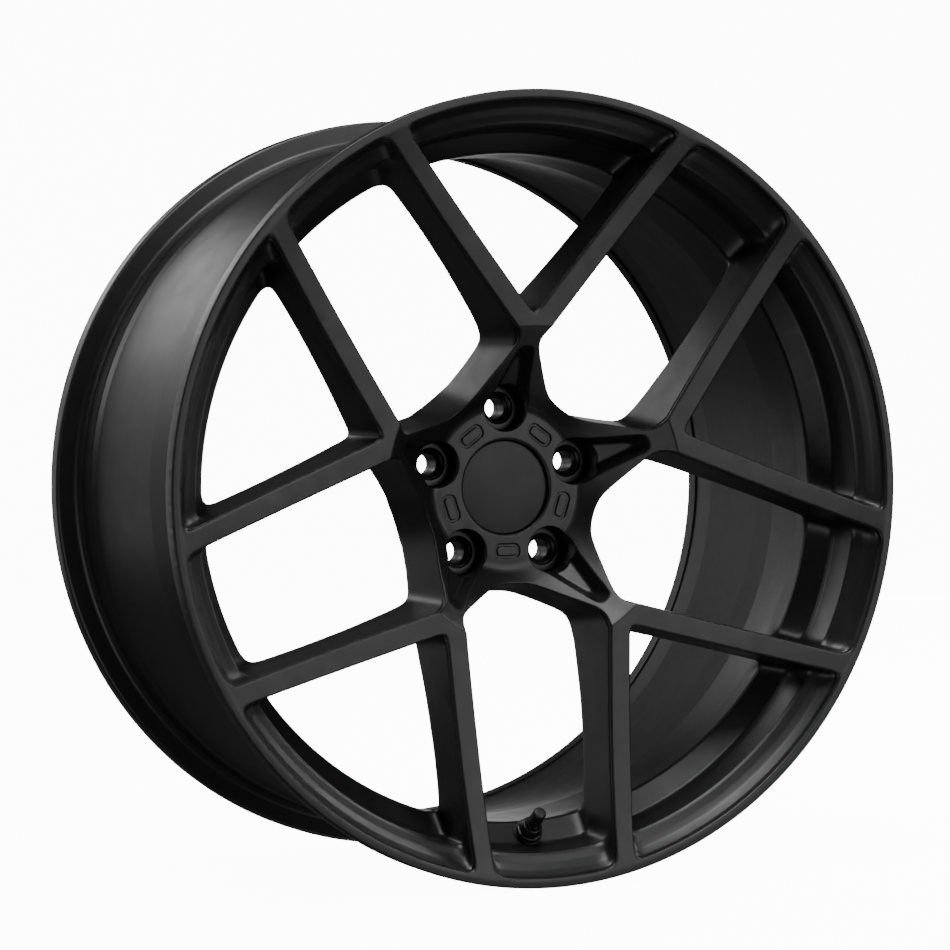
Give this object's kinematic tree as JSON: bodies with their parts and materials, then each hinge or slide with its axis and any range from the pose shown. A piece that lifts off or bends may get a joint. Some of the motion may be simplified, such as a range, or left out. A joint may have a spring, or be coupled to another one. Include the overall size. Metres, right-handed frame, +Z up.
{
  "type": "racing wheel rim",
  "caption": "Satin black forged racing wheel rim with forked arms, deep hub pockets, blank centre cap and clamp-in tyre valve.",
  "frame": {"origin": "wheel centre: on the wheel's axis, midway between the outer faces of the two flanges", "axes": "+Y along the wheel's axis, from the street side towards the vehicle; +Z up, through the middle of one arm; the valve is at -Z"},
  "size_m": [0.5474, 0.271, 0.5474],
  "materials": {
    "forging": "satin",
    "lug_seats": "satin",
    "cap_face": "satin",
    "cap_body": "matte",
    "spring_steel": "satin",
    "seal_rubber": "matte",
    "valve_metal": "satin",
    "valve_brass": "satin",
    "valve_cap": "satin"
  },
  "bodies": {
    "wheel": {"wheel_forging": "forging", "lug_seat_1": "lug_seats", "lug_seat_2": "lug_seats", "lug_seat_3": "lug_seats", "lug_seat_4": "lug_seats", "lug_seat_5": "lug_seats", "valve_stem": "valve_metal", "valve_inner_seal": "seal_rubber", "valve_washer": "valve_metal", "valve_nut": "valve_metal", "valve_core_body": "valve_brass", "valve_core_gasket": "seal_rubber", "valve_core_spring": "spring_steel"},
    "centre_cap": {"centre_cap_face": "cap_face", "centre_cap_body": "cap_body", "centre_cap_spring_ring": "spring_steel", "centre_cap_o_ring": "seal_rubber"},
    "valve_core_pin": {"valve_core_pin": "valve_brass"},
    "valve_cap_seal": {"valve_cap_gasket": "seal_rubber"},
    "valve_cap": {"valve_cap": "valve_cap"}
  },
  "joints": [
    {"name": "centre_cap_pull_off", "type": "slide", "parent": "wheel", "child": "centre_cap", "axis": [0, -1, 0], "range_m": [0, 0.11]},
    {"name": "valve_cap_lift", "type": "slide", "parent": "wheel", "child": "valve_cap_seal", "axis": [0, -0.788, 0.6157], "range_m": [0, 0.00397]},
    {"name": "valve_cap_unscrew", "type": "hinge", "parent": "valve_cap_seal", "child": "valve_cap", "pos_m": [0, -0.0879, -0.2415], "axis": [0, -0.788, 0.6157], "range_deg": [0, 1802]},
    {"name": "valve_core_press", "type": "slide", "parent": "wheel", "child": "valve_core_pin", "axis": [0, 0.788, -0.6157], "range_m": [0, 0.0016], "stiffness_N_per_m": 600, "springref_m": -0.002, "deforming": ["valve_core_spring"]}
  ],
  "couplings": [
    {"joint": "valve_cap_unscrew", "follows": "valve_cap_lift", "rad_per_m": 7913.3}
  ]
}
